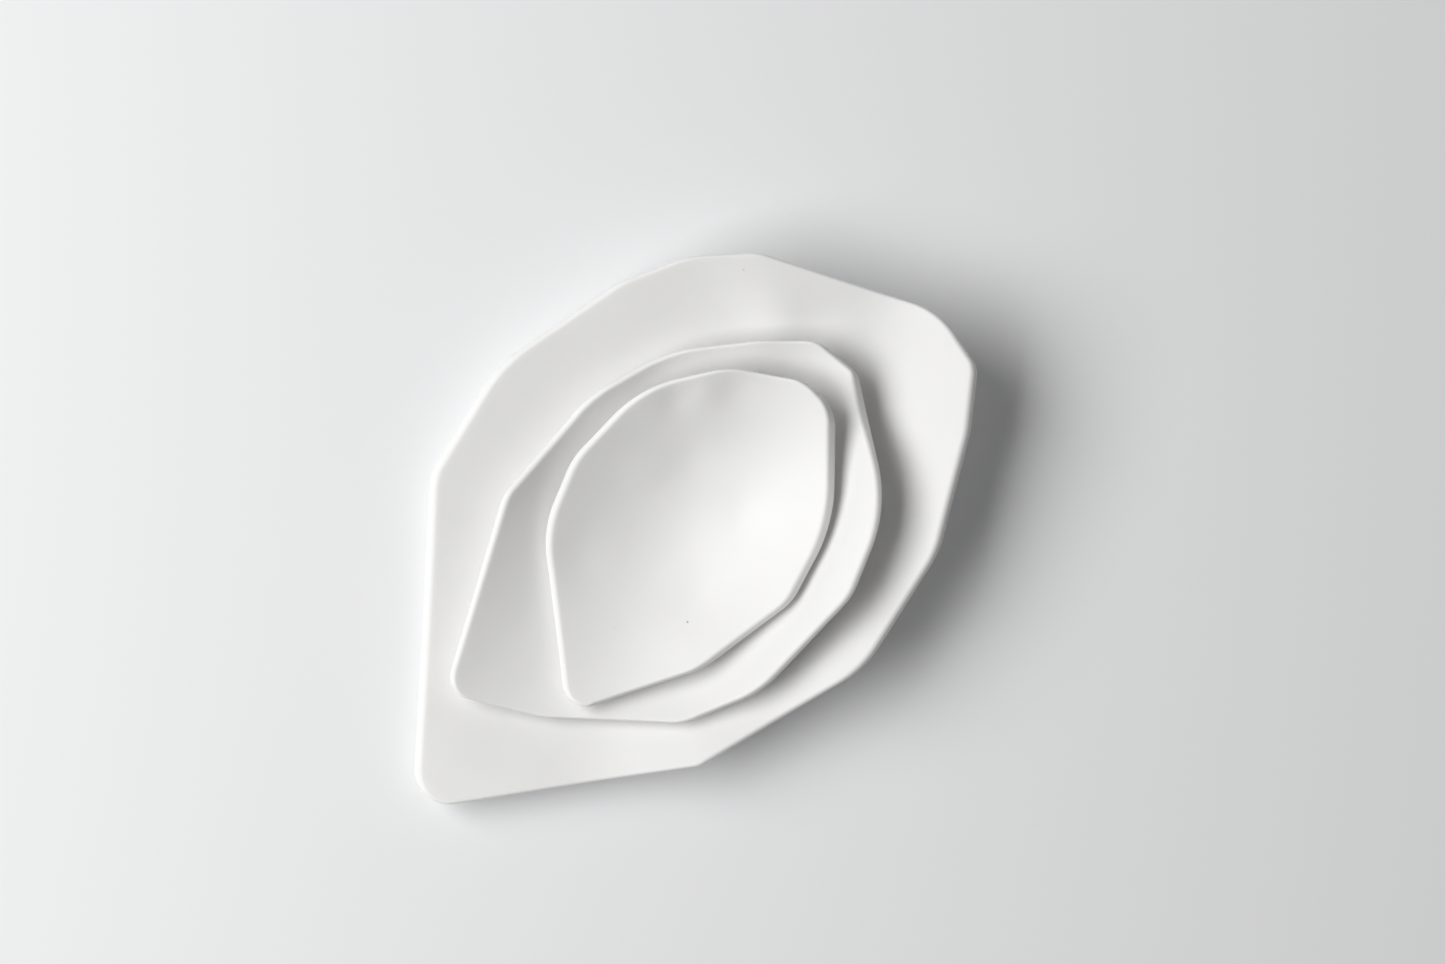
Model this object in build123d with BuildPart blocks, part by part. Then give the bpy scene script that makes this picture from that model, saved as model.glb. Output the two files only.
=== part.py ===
"""A nest of three white porcelain dishes.

Each dish is a shallow, smooth bowl that was cut to an irregular outline with straight
sides and soft corners, so its lip runs higher at the far corners than along the sides.
The medium dish stands on the flat floor of the large one, and the small dish stands on
the flat floor of the medium one.

Millimetres. Z is up from the table. X runs along the large dish, from its low pointed
end to its high end, and the origin is at table height, below the middle of its outline.
"""

import os
from math import cos, radians, sin

from build123d import *

# Outlines, seen from above: each corner's x, y and corner radius, anticlockwise.
LARGE_OUTLINE = [
    (-124.5, -22.5, 12),
    (-37.5, -70.5, 10),
    (26, -78, 39),
    (69, -62.5, 34),
    (101.5, -37.5, 33),
    (116.5, -22, 8),
    (118.5, 0, 28),
    (83, 53, 20),
    (63.5, 67, 41),
    (39.5, 74.5, 38),
    (-9.5, 78, 50),
    (-50, 63, 14.5),
]
MEDIUM_OUTLINE = [
    (-91, 2, 8),
    (-70, -25, 27),
    (-33, -56, 22),
    (-6, -63, 36),
    (37, -56, 24),
    (64.5, -40, 49),
    (84, 1, 6.5),
    (80.5, 17.5, 12.5),
    (65.5, 29.5, 34),
    (39, 46, 54),
    (8.5, 50.5, 46),
    (-34.5, 42, 15),
]
SMALL_OUTLINE = [
    (-63, -29, 8.5),
    (-17, -45, 32),
    (20, -45.5, 19),
    (47, -33.5, 55),
    (70.5, -4, 14.5),
    (69, 9, 16.5),
    (51.5, 29, 30),
    (24, 42, 44),
    (-8.5, 37.5, 28),
    (-31, 25, 37),
]

# Each dish stands on the floor of the one below. A floor is one wall thick.
LARGE_WALL = 4.6
MEDIUM_WALL = 3.6
SMALL_WALL = 4.0
LARGE_BASE = 0.0
MEDIUM_BASE = LARGE_BASE + LARGE_WALL
SMALL_BASE = MEDIUM_BASE + MEDIUM_WALL

# The curve of each bowl. middle is its lowest place, and half its half lengths along and
# across, with the long one turned by a few degrees from X. rise is its height at the half
# lengths, plain is how much of that is a paraboloid, the rest being steeper to the lip,
# and skew says by how much it rises more towards one end and one side. dip is how far the
# curve goes below the flat that the dish stands on.
LARGE_BOWL = dict(
    middle=(-6, -1.5),
    half=(120, 74),
    turn=-4,
    rise=19.2,
    plain=1.27,
    skew=(0.66, -0.25),
    dip=1.6,
)
MEDIUM_BOWL = dict(
    middle=(-4, -1.5),
    half=(88, 49.5),
    turn=10,
    rise=19.8,
    plain=0.97,
    skew=(0.5, 0.04),
    dip=1.4,
)
SMALL_BOWL = dict(
    middle=(-5.5, -3.5),
    half=(70, 44.5),
    turn=0,
    rise=18.3,
    plain=1.18,
    skew=(0.51, -0.06),
    dip=1,
)

# Lips: the radius of the soft upper edge and of the lower edge.
LARGE_LIP = (2.0, 1.2)
MEDIUM_LIP = (1.1, 0.9)
SMALL_LIP = (1.4, 1.0)

# The foot is a flat ring around a shallow hollow.
FOOT_RING_WIDTH = 5.0
FOOT_HOLLOW_DEPTH = 0.8

# Each dish is cut from a block that is higher than any lip.
BLOCK_HEIGHT = 60.0

# The bowl surfaces reach past every outline, and pass through points this far apart.
REACH_X = 140
REACH_Y = 100
POINT_SPACING = 20


def bowl_height(bowl, x, y):
    """Height of a bowl's curve over the flat that the dish stands on."""
    turn = radians(bowl["turn"])
    from_x = x - bowl["middle"][0]
    from_y = y - bowl["middle"][1]
    along = (from_x * cos(turn) + from_y * sin(turn)) / bowl["half"][0]
    across = (from_y * cos(turn) - from_x * sin(turn)) / bowl["half"][1]
    reach = along**2 + across**2
    even = bowl["rise"] * (bowl["plain"] * reach + (1 - bowl["plain"]) * reach**2)
    return even * (1 + bowl["skew"][0] * along + bowl["skew"][1] * across) - bowl["dip"]


def bowl_surface(bowl, flat):
    """A bowl's curve as a face, for a dish whose flat is at that height."""
    rows = range(-REACH_X, REACH_X + 1, POINT_SPACING)
    places = range(-REACH_Y, REACH_Y + 1, POINT_SPACING)
    points = [[(x, y, flat + bowl_height(bowl, x, y)) for y in places] for x in rows]
    return Face.make_surface_from_array_of_points(points, tol=0.002, min_deg=3, max_deg=6)


def outline_face(outline):
    """The straight-sided outline with its rounded corners, flat on the table."""
    corners = [(x, y) for x, y, _ in outline]
    radii = [radius for _, _, radius in outline]
    with BuildSketch() as sketch:
        with BuildLine():
            FilletPolyline(*corners, radius=radii, close=True)
        make_face()
    return sketch.sketch


def build_hollow(outline, bowl, flat, lowest):
    """The space inside a dish: over the bowl's curve, and over the lowest height."""
    with BuildPart() as hollow:
        with BuildSketch(Plane.XY.offset(lowest)):
            add(outline_face(outline))
        extrude(amount=BLOCK_HEIGHT)
        split(bisect_by=bowl_surface(bowl, flat), keep=Keep.TOP)
    return hollow.part


def build_dish(name, outline, bowl, base, lip, hollow):
    """One dish: the outline's block over the bowl's underside, less the hollow."""
    with BuildPart() as dish:
        with BuildSketch(Plane.XY.offset(base)):
            add(outline_face(outline))
        extrude(amount=BLOCK_HEIGHT)
        split(bisect_by=bowl_surface(bowl, base), keep=Keep.TOP)
        add(hollow, mode=Mode.SUBTRACT)

        curved = dish.faces().filter_by(GeomType.BSPLINE).sort_by(SortBy.AREA)[-2:]
        inside = curved.sort_by(Axis.Z)[-1]
        fillet(inside.outer_wire().edges(), radius=lip[0])
        curved = dish.faces().filter_by(GeomType.BSPLINE).sort_by(SortBy.AREA)[-2:]
        underside = curved.sort_by(Axis.Z)[0]
        fillet(underside.outer_wire().edges(), radius=lip[1])

        foot = dish.faces().filter_by(GeomType.PLANE).sort_by(Axis.Z)[0]
        foot_size = foot.bounding_box().size
        with BuildSketch(Plane.XY.offset(base)):
            with Locations(foot.center(CenterOf.BOUNDING_BOX)):
                Ellipse(foot_size.X / 2 - FOOT_RING_WIDTH, foot_size.Y / 2 - FOOT_RING_WIDTH)
        extrude(amount=FOOT_HOLLOW_DEPTH, mode=Mode.SUBTRACT)
    dish.part.label = name
    export_step(dish.part, f"parts/{name}.step")
    return dish.part


os.makedirs("parts", exist_ok=True)

# The large and the medium dish have a flat floor for the next dish to stand on. The
# small one is curved all over inside, and its floor is thinner by the curve's dip.
large_hollow = build_hollow(LARGE_OUTLINE, LARGE_BOWL, MEDIUM_BASE, MEDIUM_BASE)
medium_hollow = build_hollow(MEDIUM_OUTLINE, MEDIUM_BOWL, SMALL_BASE, SMALL_BASE)
small_hollow = build_hollow(SMALL_OUTLINE, SMALL_BOWL, SMALL_BASE + SMALL_WALL, SMALL_BASE)

large_dish = build_dish(
    "large_dish", LARGE_OUTLINE, LARGE_BOWL, LARGE_BASE, LARGE_LIP, large_hollow
)
medium_dish = build_dish(
    "medium_dish", MEDIUM_OUTLINE, MEDIUM_BOWL, MEDIUM_BASE, MEDIUM_LIP, medium_hollow
)
small_dish = build_dish(
    "small_dish", SMALL_OUTLINE, SMALL_BOWL, SMALL_BASE, SMALL_LIP, small_hollow
)
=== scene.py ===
"""A nest of three matt white porcelain dishes on a pale table, seen from straight above.

Every dish is one closed mesh of rings that run round its outline: over the inside of the
bowl, round the soft lip, and back under the dish to its foot. The outlines and the bowls'
curves are the CAD model's. On top of them each dish has the soft swellings and hollows of
a hand-made dish, which take its surfaces up to about 3 mm away from the CAD model's.

Shapes are worked out in millimetres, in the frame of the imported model, and are turned into
metres when a mesh is made. Materials and the stage are in metres.
"""

from math import cos, pi, radians, sin

import bpy
import numpy as np
from mathutils import Matrix, Vector


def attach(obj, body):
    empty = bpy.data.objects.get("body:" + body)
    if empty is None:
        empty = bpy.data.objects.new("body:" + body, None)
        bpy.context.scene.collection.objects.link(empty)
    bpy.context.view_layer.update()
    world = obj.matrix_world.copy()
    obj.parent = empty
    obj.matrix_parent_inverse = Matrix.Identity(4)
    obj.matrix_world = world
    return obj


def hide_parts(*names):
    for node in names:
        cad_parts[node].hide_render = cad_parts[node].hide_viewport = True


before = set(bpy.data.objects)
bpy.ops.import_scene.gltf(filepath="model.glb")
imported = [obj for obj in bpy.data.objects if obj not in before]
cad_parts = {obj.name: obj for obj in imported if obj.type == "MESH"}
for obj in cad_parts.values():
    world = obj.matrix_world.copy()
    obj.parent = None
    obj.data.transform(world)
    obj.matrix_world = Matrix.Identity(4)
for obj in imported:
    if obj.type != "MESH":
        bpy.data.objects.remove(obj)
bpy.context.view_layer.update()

MM = 0.001

# Outlines, seen from above: each corner's x, y and corner radius, anticlockwise.
LARGE_OUTLINE = [
    (-124.5, -22.5, 12),
    (-37.5, -70.5, 10),
    (26, -78, 39),
    (69, -62.5, 34),
    (101.5, -37.5, 33),
    (116.5, -22, 8),
    (118.5, 0, 28),
    (83, 53, 20),
    (63.5, 67, 41),
    (39.5, 74.5, 38),
    (-9.5, 78, 50),
    (-50, 63, 14.5),
]
MEDIUM_OUTLINE = [
    (-91, 2, 8),
    (-70, -25, 27),
    (-33, -56, 22),
    (-6, -63, 36),
    (37, -56, 24),
    (64.5, -40, 49),
    (84, 1, 6.5),
    (80.5, 17.5, 12.5),
    (65.5, 29.5, 34),
    (39, 46, 54),
    (8.5, 50.5, 46),
    (-34.5, 42, 15),
]
SMALL_OUTLINE = [
    (-63, -29, 8.5),
    (-17, -45, 32),
    (20, -45.5, 19),
    (47, -33.5, 55),
    (70.5, -4, 14.5),
    (69, 9, 16.5),
    (51.5, 29, 30),
    (24, 42, 44),
    (-8.5, 37.5, 28),
    (-31, 25, 37),
]

# Each dish stands on the floor of the one below.
LARGE_WALL = 4.6
MEDIUM_WALL = 3.6
SMALL_WALL = 4.0
LARGE_BASE = 0.0
MEDIUM_BASE = LARGE_BASE + LARGE_WALL
SMALL_BASE = MEDIUM_BASE + MEDIUM_WALL

# The curve of each bowl, as in the CAD model: its lowest place, its half lengths along and
# across, its turn in degrees, its rise at the half lengths, how much of that is a plain
# paraboloid, how much more it rises towards one end and one side, and how far it goes
# below the flat that the dish stands on.
LARGE_BOWL = dict(
    middle=(-6, -1.5),
    half=(120, 74),
    turn=-4,
    rise=19.2,
    plain=1.27,
    skew=(0.66, -0.25),
    dip=1.6,
)
MEDIUM_BOWL = dict(
    middle=(-4, -1.5),
    half=(88, 49.5),
    turn=10,
    rise=19.8,
    plain=0.97,
    skew=(0.5, 0.04),
    dip=1.4,
)
SMALL_BOWL = dict(
    middle=(-5.5, -3.5),
    half=(70, 44.5),
    turn=0,
    rise=18.3,
    plain=1.18,
    skew=(0.51, -0.06),
    dip=1,
)

# Lips: the upper edge's radius towards SOFT_SIDE, opposite it, and between the two, where
# it is crispest. Then the lower edge's radius, and how far the wall's end leans back from
# upright, in degrees, opposite SOFT_SIDE. SOFT_SIDE is a direction from X in degrees.
LARGE_LIP = (3.2, 2.0, 0.8, 0.6, 10)
MEDIUM_LIP = (1.8, 1.7, 0.7, 0.4, 60)
SMALL_LIP = (2.2, 1.5, 0.7, 0.5, 60)
SOFT_SIDE = 135

# The foot is a flat ring around a shallow hollow, with a narrow slope between the two.
FOOT_RING_WIDTH = 5.0
FOOT_HOLLOW_DEPTH = 0.8
HOLLOW_SLOPE = 1.0

# The curve goes over into the foot's flat and into the floor's flat softly: the crease is
# rounded where the two are less than this apart in height.
FOOT_EDGE = 0.25
FLOOR_EDGE = 0.35

# The glaze is whole from this height over the foot upwards, and leaves the flat bare.
BARE_HEIGHT = 0.15

# Unevenness: x, y, reach and height of each soft swelling, or of a hollow where negative.
LARGE_DENTS = [
    (-70, -58, 34, -3.0),
    (-5, -72, 24, -2.0),
    (76, 42, 13, 1.0),
    (74, 29, 12, 2.0),
    (84, 11, 9, 1.5),
    (113, 16, 17, -2.8),
    (66, -22, 14, -1.5),
    (100, -25, 16, 1.0),
]
MEDIUM_DENTS = [
    (-5, 50, 28, -4.0),
    (34, 46, 12, -1.8),
    (60, 26, 16, 3.0),
    (82, -12, 9, -2.8),
    (-20, -58, 25, -2.0),
]
SMALL_DENTS = [
    (-45, -38, 20, -1.5),
    (-24, 6, 9, -0.8),
    (-4, -22, 10, -0.7),
    (27, -12, 9, -0.9),
    (23, 13, 7, -0.5),
    (8, 19, 7, 0.5),
    (31, 32, 6, -0.9),
    (41, 27, 5, 0.5),
    (51, 22, 7, -0.7),
    (66, 20, 12, -1.0),
]

# Waves that each dish has all over: their lengths, and height as a share of length.
WAVE_LENGTHS = (16, 21, 27, 34, 43, 55)
WAVE_STEEPNESS = 0.0012

# All unevenness fades out where the bowl's curve is lower than this over the flat.
FADE_HEIGHT = 4

# Specks of iron in the glaze inside a dish: x, y, radius, and how strongly they show. A
# speck is dark all through over its core, a share of its radius, and fades out from there.
LARGE_SPECKS = [(75.5, 51.7, 0.4, 0.3)]
SMALL_SPECKS = [(-11.8, -29.5, 0.45, 0.75), (-32.2, -16.2, 0.7, 0.06)]
SPECK_CORE = 0.4

# Mesh: points round each outline and round each corner, rings over each part of the
# section, and the fewest points that a ring near the middle may have.
POINTS_ROUND = 512
CORNER_POINTS = 25
BOWL_RINGS = 46
FLOOR_RINGS = 12
EDGE_RINGS = 4
LIP_RINGS = 8
FEWEST_POINTS = 16

# Slopes are measured over this distance to both sides. The places where a lip starts and
# where the flat ends are each found in a number of rounds.
SLOPE_STEP = 0.05
LIP_ROUNDS = 6
FLAT_ROUNDS = 24

# Colours: red, green, blue and opacity.
DARKER_GLAZE = (0.903, 0.898, 0.887, 1)
PALER_GLAZE = (0.931, 0.928, 0.921, 1)
BARE_PORCELAIN = (0.76, 0.735, 0.69, 1)
SPECK_COLOUR = (0.16, 0.13, 0.11, 1)
TABLE_COLOUR = (0.960, 0.965, 0.972, 1)

# Finish: the glaze's roughness from its glossiest to its dullest places, how much rougher
# bare porcelain is, how deep light goes in, and how deep the grain is.
GLAZE_ROUGHNESS = (0.48, 0.60)
EXTRA_BARE_ROUGHNESS = 0.3
SCATTER_DEPTH = 0.002
GRAIN_DEPTH = 0.0001
TABLE_ROUGHNESS = 0.6

# The camera looks straight down. Its view is turned from X by CAMERA_TURN degrees, and is
# VIEW_WIDTH wide at table height. The sensor is in millimetres, as Blender has it.
CAMERA_TURN = 38.0
CAMERA_HEIGHT = 1.4
VIEW_MIDDLE = Vector((0.0264, 0.0003, 0))
VIEW_WIDTH = 0.4913
SENSOR_WIDTH = 36.0

# One large soft window of light from the camera's left, and an even pale surrounding. The
# angles are in degrees, and the azimuth is anticlockwise from the right of the view.
# LIGHT_TARGET is to the right, to the top and over the middle of the view.
LIGHT_AZIMUTH = 175.5
LIGHT_ELEVATION = 47.0
LIGHT_DISTANCE = 1.88
LIGHT_TARGET = (-0.010, -0.015, 0.010)
LIGHT_SIZE = (1.38, 2.13)
LIGHT_POWER = 38.3
SURROUNDING = 0.139

TABLE_SIZE = 6.0


# ---------------------------------------------------------------- shape


def bowl_height(bowl, x, y):
    """Height of a bowl's curve over the flat that the dish stands on."""
    turn = radians(bowl["turn"])
    from_x = x - bowl["middle"][0]
    from_y = y - bowl["middle"][1]
    along = (from_x * cos(turn) + from_y * sin(turn)) / bowl["half"][0]
    across = (from_y * cos(turn) - from_x * sin(turn)) / bowl["half"][1]
    reach = along**2 + across**2
    even = bowl["rise"] * (bowl["plain"] * reach + (1 - bowl["plain"]) * reach**2)
    return even * (1 + bowl["skew"][0] * along + bowl["skew"][1] * across) - bowl["dip"]


def outline_points(outline):
    """Evenly spaced points round an outline, and the outward direction at each."""
    corners = np.array([corner[:2] for corner in outline], float)
    points = []
    directions = []
    for (x, y, radius), before, after in zip(
        outline, np.roll(corners, 1, axis=0), np.roll(corners, -1, axis=0)
    ):
        corner = np.array([x, y], float)
        back = (before - corner) / np.linalg.norm(before - corner)
        ahead = (after - corner) / np.linalg.norm(after - corner)
        half_angle = np.arccos(back @ ahead) / 2
        inward = (back + ahead) / np.linalg.norm(back + ahead)
        centre = corner + inward * radius / sin(half_angle)
        tangent = corner + back * radius / np.tan(half_angle)
        start = np.arctan2(*(tangent - centre)[::-1])
        for turn in np.linspace(start, start + pi - 2 * half_angle, CORNER_POINTS):
            direction = np.array([cos(turn), sin(turn)])
            points.append(centre + radius * direction)
            directions.append(direction)
    points.append(points[0])
    directions.append(directions[0])
    points = np.array(points)
    directions = np.array(directions)
    steps = np.linalg.norm(np.diff(points, axis=0), axis=1)
    travelled = np.concatenate([[0], np.cumsum(steps)])
    even = np.linspace(0, travelled[-1], POINTS_ROUND, endpoint=False)
    points = np.column_stack([np.interp(even, travelled, points[:, i]) for i in (0, 1)])
    directions = np.column_stack([np.interp(even, travelled, directions[:, i]) for i in (0, 1)])
    return points, directions / np.linalg.norm(directions, axis=1)[:, None]


def soft_higher(first, second, reach):
    """The higher of two heights, with the crease between them rounded."""
    share = np.clip(0.5 + 0.5 * (first - second) / reach, 0, 1)
    return second + (first - second) * share + reach * share * (1 - share)


def hand_waves(seed, x, y):
    """Faint waves all over, each in its own direction, as hands and a sponge leave them."""
    draw = np.random.default_rng(seed)
    total = np.zeros(len(x))
    for length in WAVE_LENGTHS:
        heading, start = draw.uniform(0, 2 * pi, 2)
        total += length * np.sin(2 * pi * (x * cos(heading) + y * sin(heading)) / length + start)
    return WAVE_STEEPNESS * total


def unevenness(seed, dents, height, x, y):
    """Waves, swellings and hollows, which fade out towards the flat at the foot."""
    total = hand_waves(seed, x, y)
    for dent_x, dent_y, reach, size in dents:
        distance = np.hypot(x - dent_x, y - dent_y) / reach
        total += size * np.exp(-(distance**2))
    return total * np.clip(height / FADE_HEIGHT, 0, 1)


class Dish:
    """The measures of one dish, and the heights of its inside and underside."""

    def __init__(self, outline, bowl, base, wall, lip, dents, seed, has_floor):
        self.rim, self.outward = outline_points(outline)
        self.middle = np.array(bowl["middle"], float)
        self.bowl = bowl
        self.base = base
        self.wall = wall
        softest, opposite, crispest, self.lower_lip, lean = lip
        facing = self.outward @ np.array([cos(radians(SOFT_SIDE)), sin(radians(SOFT_SIDE))])
        self.upper_lip = crispest + (np.where(facing > 0, softest, opposite) - crispest) * facing**2
        self.lean = radians(lean) * np.clip(-facing, 0, 1) ** 2
        self.dents = dents
        self.seed = seed
        self.has_floor = has_floor

    def curve(self, points):
        """The bowl's curve with its unevenness, as a height over the flat."""
        x, y = points[:, 0], points[:, 1]
        height = bowl_height(self.bowl, x, y)
        return height + unevenness(self.seed, self.dents, height, x, y)

    def inside(self, points):
        """The height of the inside, one wall over the curve."""
        height = self.curve(points)
        if self.has_floor:
            height = soft_higher(height, 0, FLOOR_EDGE)
        return self.base + self.wall + height

    def underside(self, points):
        """The height of the underside, with its flat."""
        return self.base + soft_higher(self.curve(points), 0, FOOT_EDGE)

    def slope_angle(self, points):
        """How steeply the curve rises outwards across the lip, as an angle."""
        step = SLOPE_STEP * self.outward
        rise = self.curve(points + step) - self.curve(points - step)
        return np.maximum(np.arctan(rise / (2 * SLOPE_STEP)), 0)

    def inwards(self, distance):
        """Points at a distance in from the rim."""
        return self.rim - self.outward * distance[:, None]

    def upper_start(self):
        """Where the inside goes over into its lip: the distances in, and the angles there."""
        distance = self.upper_lip
        for _ in range(LIP_ROUNDS):
            angle = self.slope_angle(self.inwards(distance))
            across = self.wall * np.cos(angle) - self.upper_lip - self.lower_lip
            along = self.upper_lip - self.lower_lip + across * np.sin(self.lean - angle)
            along /= np.cos(self.lean - angle)
            centre_in = self.lower_lip + along * np.cos(angle) + across * np.sin(angle)
            distance = centre_in + self.upper_lip * np.sin(angle)
        return distance, angle

    def lower_start(self):
        """Where the underside goes over into its lip: the distances in, and the angles there."""
        distance = np.full(len(self.rim), self.lower_lip)
        for _ in range(LIP_ROUNDS):
            angle = self.slope_angle(self.inwards(distance))
            distance = self.lower_lip * (1 - np.sin(angle))
        return distance, angle

    def flat_edge(self, ring):
        """How far out each line from the middle to a ring crosses the flat's edge, as a share."""
        low = np.zeros(len(ring))
        high = np.ones(len(ring))
        for _ in range(FLAT_ROUNDS):
            share = (low + high) / 2
            points = self.middle + (ring - self.middle) * share[:, None]
            below = bowl_height(self.bowl, points[:, 0], points[:, 1]) < 0
            low = np.where(below, share, low)
            high = np.where(below, high, share)
        return (low + high) / 2


def inside_rings(dish):
    """Rings over the inside, from near the middle out to the lip."""
    lip_ring = dish.inwards(dish.upper_start()[0])
    edge = dish.flat_edge(lip_ring)
    shares = [edge * k / FLOOR_RINGS for k in range(1, FLOOR_RINGS)]
    shares += [edge + (1 - edge) * k / BOWL_RINGS for k in range(BOWL_RINGS + 1)]
    rings = []
    for share in shares:
        points = dish.middle + (lip_ring - dish.middle) * share[:, None]
        rings.append(np.column_stack([points, dish.inside(points)]))
    return rings


def lip_arc(dish, centre_in, centre_heights, radius, first_turn, last_turn):
    """Rings round one edge of the lip, from one direction seen across the lip to another."""
    rings = []
    for k in range(LIP_RINGS + 1):
        turn = first_turn + (last_turn - first_turn) * k / LIP_RINGS
        points = dish.inwards(centre_in - radius * np.cos(turn))
        rings.append(np.column_stack([points, centre_heights + radius * np.sin(turn)]))
    return rings


def lip_rings(dish):
    """Rings round the lip: a soft upper edge, the wall's end and a soft lower edge."""
    start, angle = dish.upper_start()
    centre_in = start - dish.upper_lip * np.sin(angle)
    heights = dish.inside(dish.inwards(start)) - dish.upper_lip * np.cos(angle)
    upper = lip_arc(dish, centre_in, heights, dish.upper_lip, angle + pi / 2, dish.lean)
    start, angle = dish.lower_start()
    centre_in = np.full(len(angle), dish.lower_lip)
    heights = dish.underside(dish.inwards(start)) + dish.lower_lip * np.cos(angle)
    lower = lip_arc(dish, centre_in, heights, dish.lower_lip, dish.lean, angle - pi / 2)
    return upper[1:] + lower


def underside_rings(dish):
    """Rings under the dish, from the lip in to the foot ring and its hollow."""
    lip_ring = dish.inwards(dish.lower_start()[0])
    edge = dish.flat_edge(lip_ring)
    length = np.linalg.norm(lip_ring - dish.middle, axis=1)
    slope = HOLLOW_SLOPE / length
    slope_start = edge - FOOT_RING_WIDTH / length + slope / 2
    slope_end = slope_start - slope
    shares = [edge + (1 - edge) * (1 - k / BOWL_RINGS) for k in range(1, BOWL_RINGS + 1)]
    shares += [edge + (slope_start - edge) * k / EDGE_RINGS for k in range(1, EDGE_RINGS)]
    shares += [slope_start - slope * k / EDGE_RINGS for k in range(EDGE_RINGS + 1)]
    shares += [slope_end * (1 - k / FLOOR_RINGS) for k in range(1, FLOOR_RINGS)]
    rings = []
    for share in shares:
        points = dish.middle + (lip_ring - dish.middle) * share[:, None]
        climbed = np.clip((slope_start - share) / slope, 0, 1)
        rise = FOOT_HOLLOW_DEPTH * climbed**2 * (3 - 2 * climbed)
        rings.append(np.column_stack([points, dish.underside(points) + rise]))
    return rings


def specks_inside(dish, specks):
    """The centre, radius and strength of each speck, in metres, on the inside of a dish."""
    placed = []
    for x, y, radius, strength in specks:
        height = float(dish.inside(np.array([[x, y]], float))[0])
        placed.append(((x * MM, y * MM, height * MM), radius * MM, strength))
    return placed


# ---------------------------------------------------------------- mesh


def mean_gap(ring):
    """How far apart the neighbouring points of a ring are, on average."""
    return np.linalg.norm(ring - np.roll(ring, 1, axis=0), axis=1).mean()


def thinned(rings, inner_first):
    """The rings, with half as many points each time that they get half as far apart."""
    outer_first = rings[::-1] if inner_first else rings
    full_gap = mean_gap(outer_first[0])
    step = 1
    kept = []
    for ring in outer_first:
        enough_left = POINTS_ROUND // (2 * step) >= FEWEST_POINTS
        if enough_left and mean_gap(ring[::step]) < full_gap / 2:
            step *= 2
        kept.append(ring[::step])
    return kept[::-1] if inner_first else kept


def bridge(first, second, first_count, second_count):
    """Faces between two rings, where one may have twice the points of the other."""
    faces = []
    if first_count == second_count:
        for i in range(first_count):
            j = (i + 1) % first_count
            faces.append((first + i, second + i, second + j, first + j))
        return faces
    wide, narrow, count = first, second, second_count
    if second_count > first_count:
        wide, narrow, count = second, first, first_count
    for i in range(count):
        left = wide + 2 * i
        mid = wide + 2 * i + 1
        right = wide + (2 * i + 2) % (2 * count)
        here = narrow + i
        there = narrow + (i + 1) % count
        found = [(left, here, mid), (mid, here, there), (mid, there, right)]
        faces += found if wide == first else [face[::-1] for face in found]
    return faces


def dish_mesh(name, dish):
    """The closed mesh of one dish, with how bare of glaze each point is."""
    rings = thinned(inside_rings(dish), True) + lip_rings(dish)
    rings += thinned(underside_rings(dish), False)
    starts = np.cumsum([0] + [len(ring) for ring in rings])
    points = [tuple(point) for ring in rings for point in ring]
    faces = []
    for k in range(len(rings) - 1):
        faces += bridge(int(starts[k]), int(starts[k + 1]), len(rings[k]), len(rings[k + 1]))
    top = len(points)
    points.append((*dish.middle, float(dish.inside(dish.middle[None])[0])))
    points.append((*dish.middle, dish.base + FOOT_HOLLOW_DEPTH))
    first = len(rings[0])
    last = len(rings[-1])
    last_start = int(starts[-2])
    faces += [(top, i, (i + 1) % first) for i in range(first)]
    faces += [(top + 1, last_start + (i + 1) % last, last_start + i) for i in range(last)]
    mesh = bpy.data.meshes.new(name)
    mesh.from_pydata([[v * MM for v in point] for point in points], [], faces)
    mesh.validate()
    mesh.polygons.foreach_set("use_smooth", [True] * len(mesh.polygons))
    heights = np.array(points)[:, 2] - dish.base
    bare = mesh.attributes.new("bare", "FLOAT", "POINT")
    bare.data.foreach_set("value", np.clip(1 - heights / BARE_HEIGHT, 0, 1).astype(np.float32))
    return mesh


def build_dish(name, dish):
    """One dish in place of its CAD node, riding on its body."""
    piece = bpy.data.objects.new(f"{name}_porcelain", dish_mesh(name, dish))
    bpy.context.scene.collection.objects.link(piece)
    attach(piece, name)
    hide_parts(name)
    return piece


# ---------------------------------------------------------------- materials


def new_material(name):
    """An empty material with its nodes and its links."""
    material = bpy.data.materials.new(name)
    material.use_nodes = True
    return material, material.node_tree.nodes, material.node_tree.links


def with_specks(nodes, links, place, colour, specks):
    """The colour with a small soft-edged dark speck at each of these places."""
    for centre, radius, strength in specks:
        distance = nodes.new("ShaderNodeVectorMath")
        distance.operation = "DISTANCE"
        distance.inputs[1].default_value = centre
        links.new(place, distance.inputs[0])
        cover = nodes.new("ShaderNodeMapRange")
        cover.inputs["From Min"].default_value = SPECK_CORE * radius
        cover.inputs["From Max"].default_value = radius
        cover.inputs["To Min"].default_value = strength
        cover.inputs["To Max"].default_value = 0
        links.new(distance.outputs["Value"], cover.inputs["Value"])
        speckled = nodes.new("ShaderNodeMix")
        speckled.data_type = "RGBA"
        speckled.inputs["B"].default_value = SPECK_COLOUR
        links.new(cover.outputs["Result"], speckled.inputs["Factor"])
        links.new(colour, speckled.inputs["A"])
        colour = speckled.outputs["Result"]
    return colour


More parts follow.
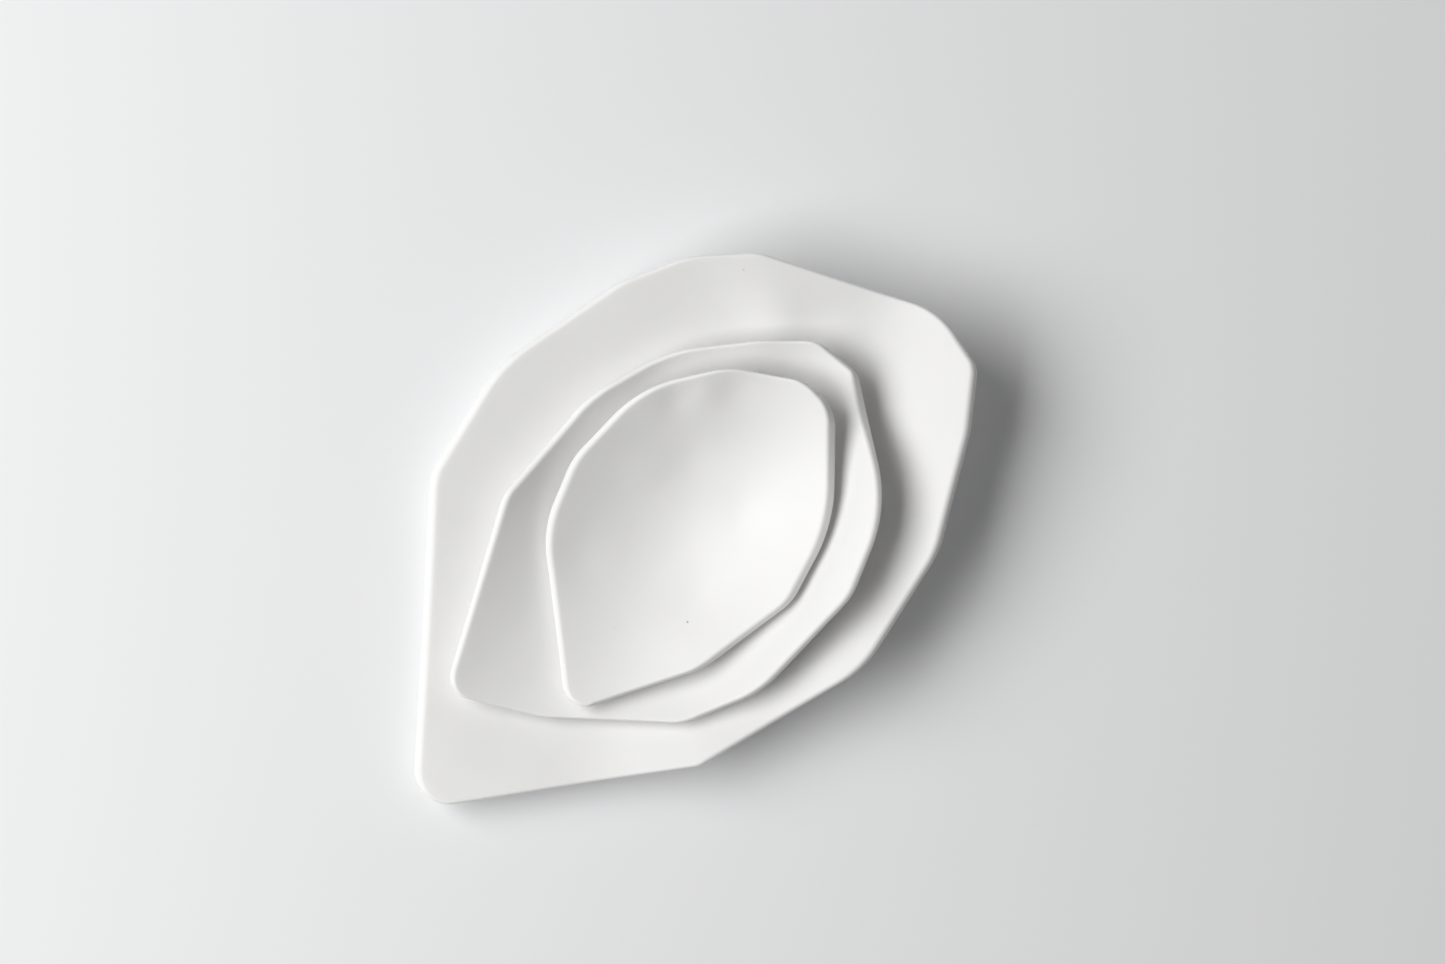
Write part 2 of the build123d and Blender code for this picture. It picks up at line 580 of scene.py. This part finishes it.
def porcelain_material(specks):
    """Matt white porcelain: warm white, a little uneven in tone and gloss, faintly grainy."""
    material, nodes, links = new_material("matt_porcelain")
    shader = nodes["Principled BSDF"]
    shader.inputs["IOR"].default_value = 1.5
    shader.inputs["Subsurface Weight"].default_value = 0.15
    shader.inputs["Subsurface Radius"].default_value = (1.0, 0.85, 0.7)
    shader.inputs["Subsurface Scale"].default_value = SCATTER_DEPTH
    place = nodes.new("ShaderNodeTexCoord")

    clouds = nodes.new("ShaderNodeTexNoise")
    clouds.inputs["Scale"].default_value = 30.0
    clouds.inputs["Detail"].default_value = 3.0
    links.new(place.outputs["Object"], clouds.inputs["Vector"])
    tone = nodes.new("ShaderNodeMix")
    tone.data_type = "RGBA"
    tone.inputs["A"].default_value = DARKER_GLAZE
    tone.inputs["B"].default_value = PALER_GLAZE
    links.new(clouds.outputs["Fac"], tone.inputs["Factor"])

    bare = nodes.new("ShaderNodeAttribute")
    bare.attribute_name = "bare"
    unglazed = nodes.new("ShaderNodeMix")
    unglazed.data_type = "RGBA"
    unglazed.inputs["B"].default_value = BARE_PORCELAIN
    links.new(bare.outputs["Fac"], unglazed.inputs["Factor"])
    links.new(tone.outputs["Result"], unglazed.inputs["A"])
    colour = with_specks(nodes, links, place.outputs["Object"], unglazed.outputs["Result"], specks)
    links.new(colour, shader.inputs["Base Color"])

    gloss = nodes.new("ShaderNodeMapRange")
    gloss.inputs["To Min"].default_value, gloss.inputs["To Max"].default_value = GLAZE_ROUGHNESS
    links.new(clouds.outputs["Fac"], gloss.inputs["Value"])
    rough = nodes.new("ShaderNodeMath")
    rough.operation = "MULTIPLY_ADD"
    rough.inputs[1].default_value = EXTRA_BARE_ROUGHNESS
    links.new(bare.outputs["Fac"], rough.inputs[0])
    links.new(gloss.outputs["Result"], rough.inputs[2])
    links.new(rough.outputs["Value"], shader.inputs["Roughness"])

    grain = nodes.new("ShaderNodeTexNoise")
    grain.inputs["Scale"].default_value = 900.0
    grain.inputs["Detail"].default_value = 2.0
    links.new(place.outputs["Object"], grain.inputs["Vector"])
    bump = nodes.new("ShaderNodeBump")
    bump.inputs["Strength"].default_value = 0.15
    bump.inputs["Distance"].default_value = GRAIN_DEPTH
    links.new(grain.outputs["Fac"], bump.inputs["Height"])
    links.new(bump.outputs["Normal"], shader.inputs["Normal"])
    return material


def table_material():
    """A plain pale table."""
    material, nodes, _ = new_material("pale_table")
    shader = nodes["Principled BSDF"]
    shader.inputs["Base Color"].default_value = TABLE_COLOUR
    shader.inputs["Roughness"].default_value = TABLE_ROUGHNESS
    return material


# ---------------------------------------------------------------- stage


def from_view(sideways, upwards, height):
    """A place by its distance to the right and to the top of the camera's view."""
    turn = radians(CAMERA_TURN)
    x = sideways * cos(turn) + upwards * sin(turn)
    y = upwards * cos(turn) - sideways * sin(turn)
    return VIEW_MIDDLE + Vector((x, y, height))


def add_camera():
    """The camera, straight above the middle of the view."""
    data = bpy.data.cameras.new("camera")
    data.sensor_width = SENSOR_WIDTH
    data.lens = SENSOR_WIDTH * CAMERA_HEIGHT / VIEW_WIDTH
    camera = bpy.data.objects.new("camera", data)
    bpy.context.scene.collection.objects.link(camera)
    camera.location = from_view(0, 0, CAMERA_HEIGHT)
    camera.rotation_euler = (0, 0, -radians(CAMERA_TURN))
    bpy.context.scene.camera = camera


def add_light():
    """The window of light, square to its line to the target and with level sides."""
    data = bpy.data.lights.new("window", "AREA")
    data.shape = "RECTANGLE"
    data.size, data.size_y = LIGHT_SIZE
    data.energy = LIGHT_POWER
    window = bpy.data.objects.new("window", data)
    bpy.context.scene.collection.objects.link(window)
    azimuth = radians(LIGHT_AZIMUTH)
    level = cos(radians(LIGHT_ELEVATION))
    away = from_view(level * cos(azimuth), level * sin(azimuth), 0) - from_view(0, 0, 0)
    away.z = sin(radians(LIGHT_ELEVATION))
    sideways = Vector((0, 0, 1)).cross(away).normalized()
    across = sideways.cross(away)
    window.location = from_view(*LIGHT_TARGET) + away * LIGHT_DISTANCE
    window.rotation_euler = Matrix((across, sideways, away)).transposed().to_euler()
    window.visible_camera = False


def add_surrounding():
    """Even white light from all round."""
    world = bpy.data.worlds.new("surrounding")
    world.use_nodes = True
    background = world.node_tree.nodes["Background"]
    background.inputs["Color"].default_value = (1, 1, 1, 1)
    background.inputs["Strength"].default_value = SURROUNDING
    bpy.context.scene.world = world


def add_table():
    """The table top that the nest stands on."""
    half = TABLE_SIZE / 2
    corners = [(-half, -half, 0), (half, -half, 0), (half, half, 0), (-half, half, 0)]
    mesh = bpy.data.meshes.new("table")
    mesh.from_pydata(corners, [], [(0, 1, 2, 3)])
    mesh.materials.append(table_material())
    table = bpy.data.objects.new("table", mesh)
    bpy.context.scene.collection.objects.link(table)


bpy.context.scene.view_settings.view_transform = "Standard"
add_camera()
add_light()
add_surrounding()
add_table()

# The seeds give each dish its own waves.
large = Dish(
    LARGE_OUTLINE,
    LARGE_BOWL,
    LARGE_BASE,
    LARGE_WALL,
    LARGE_LIP,
    LARGE_DENTS,
    seed=1,
    has_floor=True,
)
medium = Dish(
    MEDIUM_OUTLINE,
    MEDIUM_BOWL,
    MEDIUM_BASE,
    MEDIUM_WALL,
    MEDIUM_LIP,
    MEDIUM_DENTS,
    seed=2,
    has_floor=True,
)
small = Dish(
    SMALL_OUTLINE,
    SMALL_BOWL,
    SMALL_BASE,
    SMALL_WALL,
    SMALL_LIP,
    SMALL_DENTS,
    seed=3,
    has_floor=False,
)
specks = specks_inside(large, LARGE_SPECKS) + specks_inside(small, SMALL_SPECKS)
porcelain = porcelain_material(specks)
for name, dish in (("large_dish", large), ("medium_dish", medium), ("small_dish", small)):
    build_dish(name, dish).data.materials.append(porcelain)
